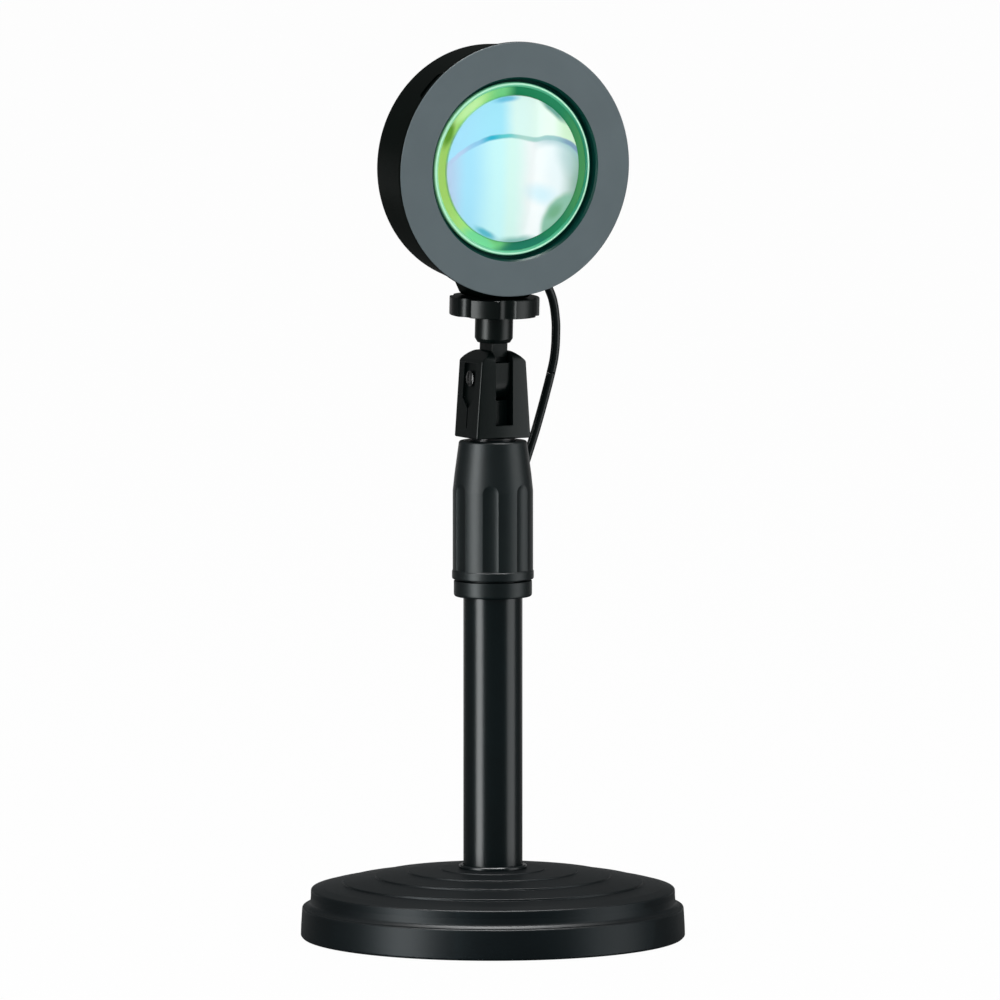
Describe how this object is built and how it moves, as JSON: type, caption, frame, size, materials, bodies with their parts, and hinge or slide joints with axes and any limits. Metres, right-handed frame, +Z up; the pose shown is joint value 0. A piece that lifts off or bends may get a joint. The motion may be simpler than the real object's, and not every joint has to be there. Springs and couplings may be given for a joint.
{
  "type": "sunset projection lamp",
  "caption": "Flat round lamp head with a coated lens, tilting and turning on a twist-lock telescopic pole with a stepped round base, USB lead.",
  "frame": {"origin": "centre of the underside of the base, at the level of the table", "axes": "+Z up along the pole, the lens faces -Y, +X to the right seen from the front"},
  "size_m": [0.1604, 0.1824, 0.3021],
  "materials": {
    "cover_black": "satin",
    "foam_black": "matt",
    "bare_steel": "plain",
    "tube_black": "satin",
    "grip_black": "satin",
    "nylon": "plain",
    "tilt_black": "satin",
    "shell_black": "satin",
    "bezel_grey": "satin",
    "lens_glass": "coated",
    "rubber_black": "matt",
    "brass": "turned",
    "mirror_silver": "polished",
    "filter_glass": "coated",
    "led_yellow": "gel",
    "board_white": "lacquered",
    "board_green": "lacquered",
    "aluminium": "plain",
    "lead_black": "satin",
    "switch_black": "gloss",
    "plug_steel": "plated",
    "plug_white": "plain"
  },
  "bodies": {
    "root": {"base_cover": "cover_black", "base_weight": "bare_steel", "base_pad": "foam_black", "base_screw": "bare_steel", "foot_ring": "tube_black", "tube_foot": "bare_steel", "lower_tube": "tube_black", "lock_collar": "grip_black", "lock_collet": "nylon", "lead_drop": "lead_black", "lead_coil": "lead_black", "coil_tie": "rubber_black", "lead_link": "lead_black", "switch_base": "switch_black", "switch_cover": "switch_black", "lead_tail": "lead_black", "plug_body": "lead_black", "plug_shell": "plug_steel", "plug_insert": "plug_white"},
    "grip": {"lock_grip": "grip_black"},
    "riser": {"upper_tube": "tube_black", "tube_glide": "nylon", "tube_plug": "aluminium", "lead_neck": "lead_black"},
    "housing": {"tilt_housing": "tilt_black", "pivot_screw": "bare_steel", "pivot_nut": "bare_steel", "lead_tilt": "lead_black"},
    "stem": {"tilt_stem": "tilt_black", "stem_stud": "bare_steel"},
    "wheel": {"lock_wheel": "tilt_black"},
    "head": {"head_shell": "shell_black", "stud_insert": "brass", "bezel": "bezel_grey", "lens": "lens_glass", "lens_gasket": "rubber_black", "lens_ring": "shell_black", "reflector": "mirror_silver", "reflector_screws": "bare_steel", "filter_glass": "filter_glass", "filter_ring": "shell_black", "led_chip": "led_yellow", "led_board": "board_white", "board_screws": "bare_steel", "heat_plate": "aluminium", "driver_board": "board_green", "driver_screws": "bare_steel", "lead_gland": "rubber_black", "lead_head": "lead_black"},
    "button": {"switch_button": "grip_black"}
  },
  "joints": [
    {"name": "grip_twist", "type": "hinge", "parent": "root", "child": "grip", "pos_m": [0, 0, 0.14], "axis": [0, 0, 1], "range_deg": [0, 120]},
    {"name": "height", "type": "slide", "parent": "root", "child": "riser", "axis": [0, 0, 1], "range_m": [0, 0.085]},
    {"name": "pan", "type": "hinge", "parent": "riser", "child": "housing", "pos_m": [0, 0, 0.1687], "axis": [0, 0, 1], "range_deg": [-90, 90]},
    {"name": "tilt", "type": "hinge", "parent": "housing", "child": "stem", "pos_m": [0, 0, 0.1887], "axis": [1, 0, 0], "range_deg": [-2.7, 87.3]},
    {"name": "wheel_turn", "type": "hinge", "parent": "stem", "child": "wheel", "pos_m": [0, -0.00114, 0.21297], "axis": [0, -0.0471, 0.9989], "range_deg": [-180, 0]},
    {"name": "head_turn", "type": "hinge", "parent": "stem", "child": "head", "pos_m": [0, -0.00144, 0.21917], "axis": [0, -0.0471, 0.9989], "range_deg": [-90, 90]},
    {"name": "button_press", "type": "slide", "parent": "root", "child": "button", "axis": [0, 0, -1], "range_m": [0, 0.001], "stiffness_N_per_m": 300}
  ]
}
